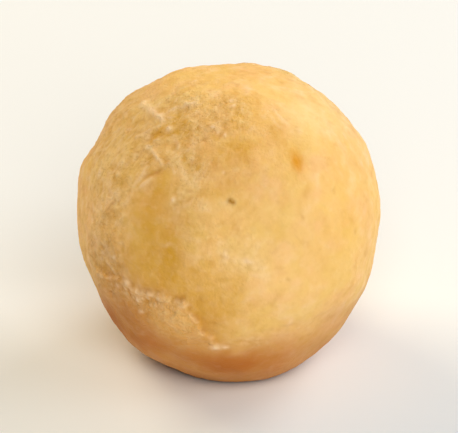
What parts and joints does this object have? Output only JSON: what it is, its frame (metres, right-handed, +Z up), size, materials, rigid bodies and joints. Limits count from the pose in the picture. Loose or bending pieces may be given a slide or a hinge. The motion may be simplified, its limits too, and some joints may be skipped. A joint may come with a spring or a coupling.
{
  "type": "pao de queijo cheese ball",
  "caption": "Round Brazilian cheese bread ball with an uneven, softly torn crust, resting on the small flat spot of its base.",
  "frame": {"origin": "middle of the flat spot on which the ball rests", "axes": "+Z up from the flat spot; -Y towards the side with the long tear in the crust; +X to the right of one who looks at that side"},
  "size_m": [0.0498, 0.0502, 0.049],
  "materials": {
    "crust": "matte baked tapioca crust, pale gold, browner at the base"
  },
  "bodies": {
    "root": {"cheese_ball": "crust"}
  },
  "joints": []
}
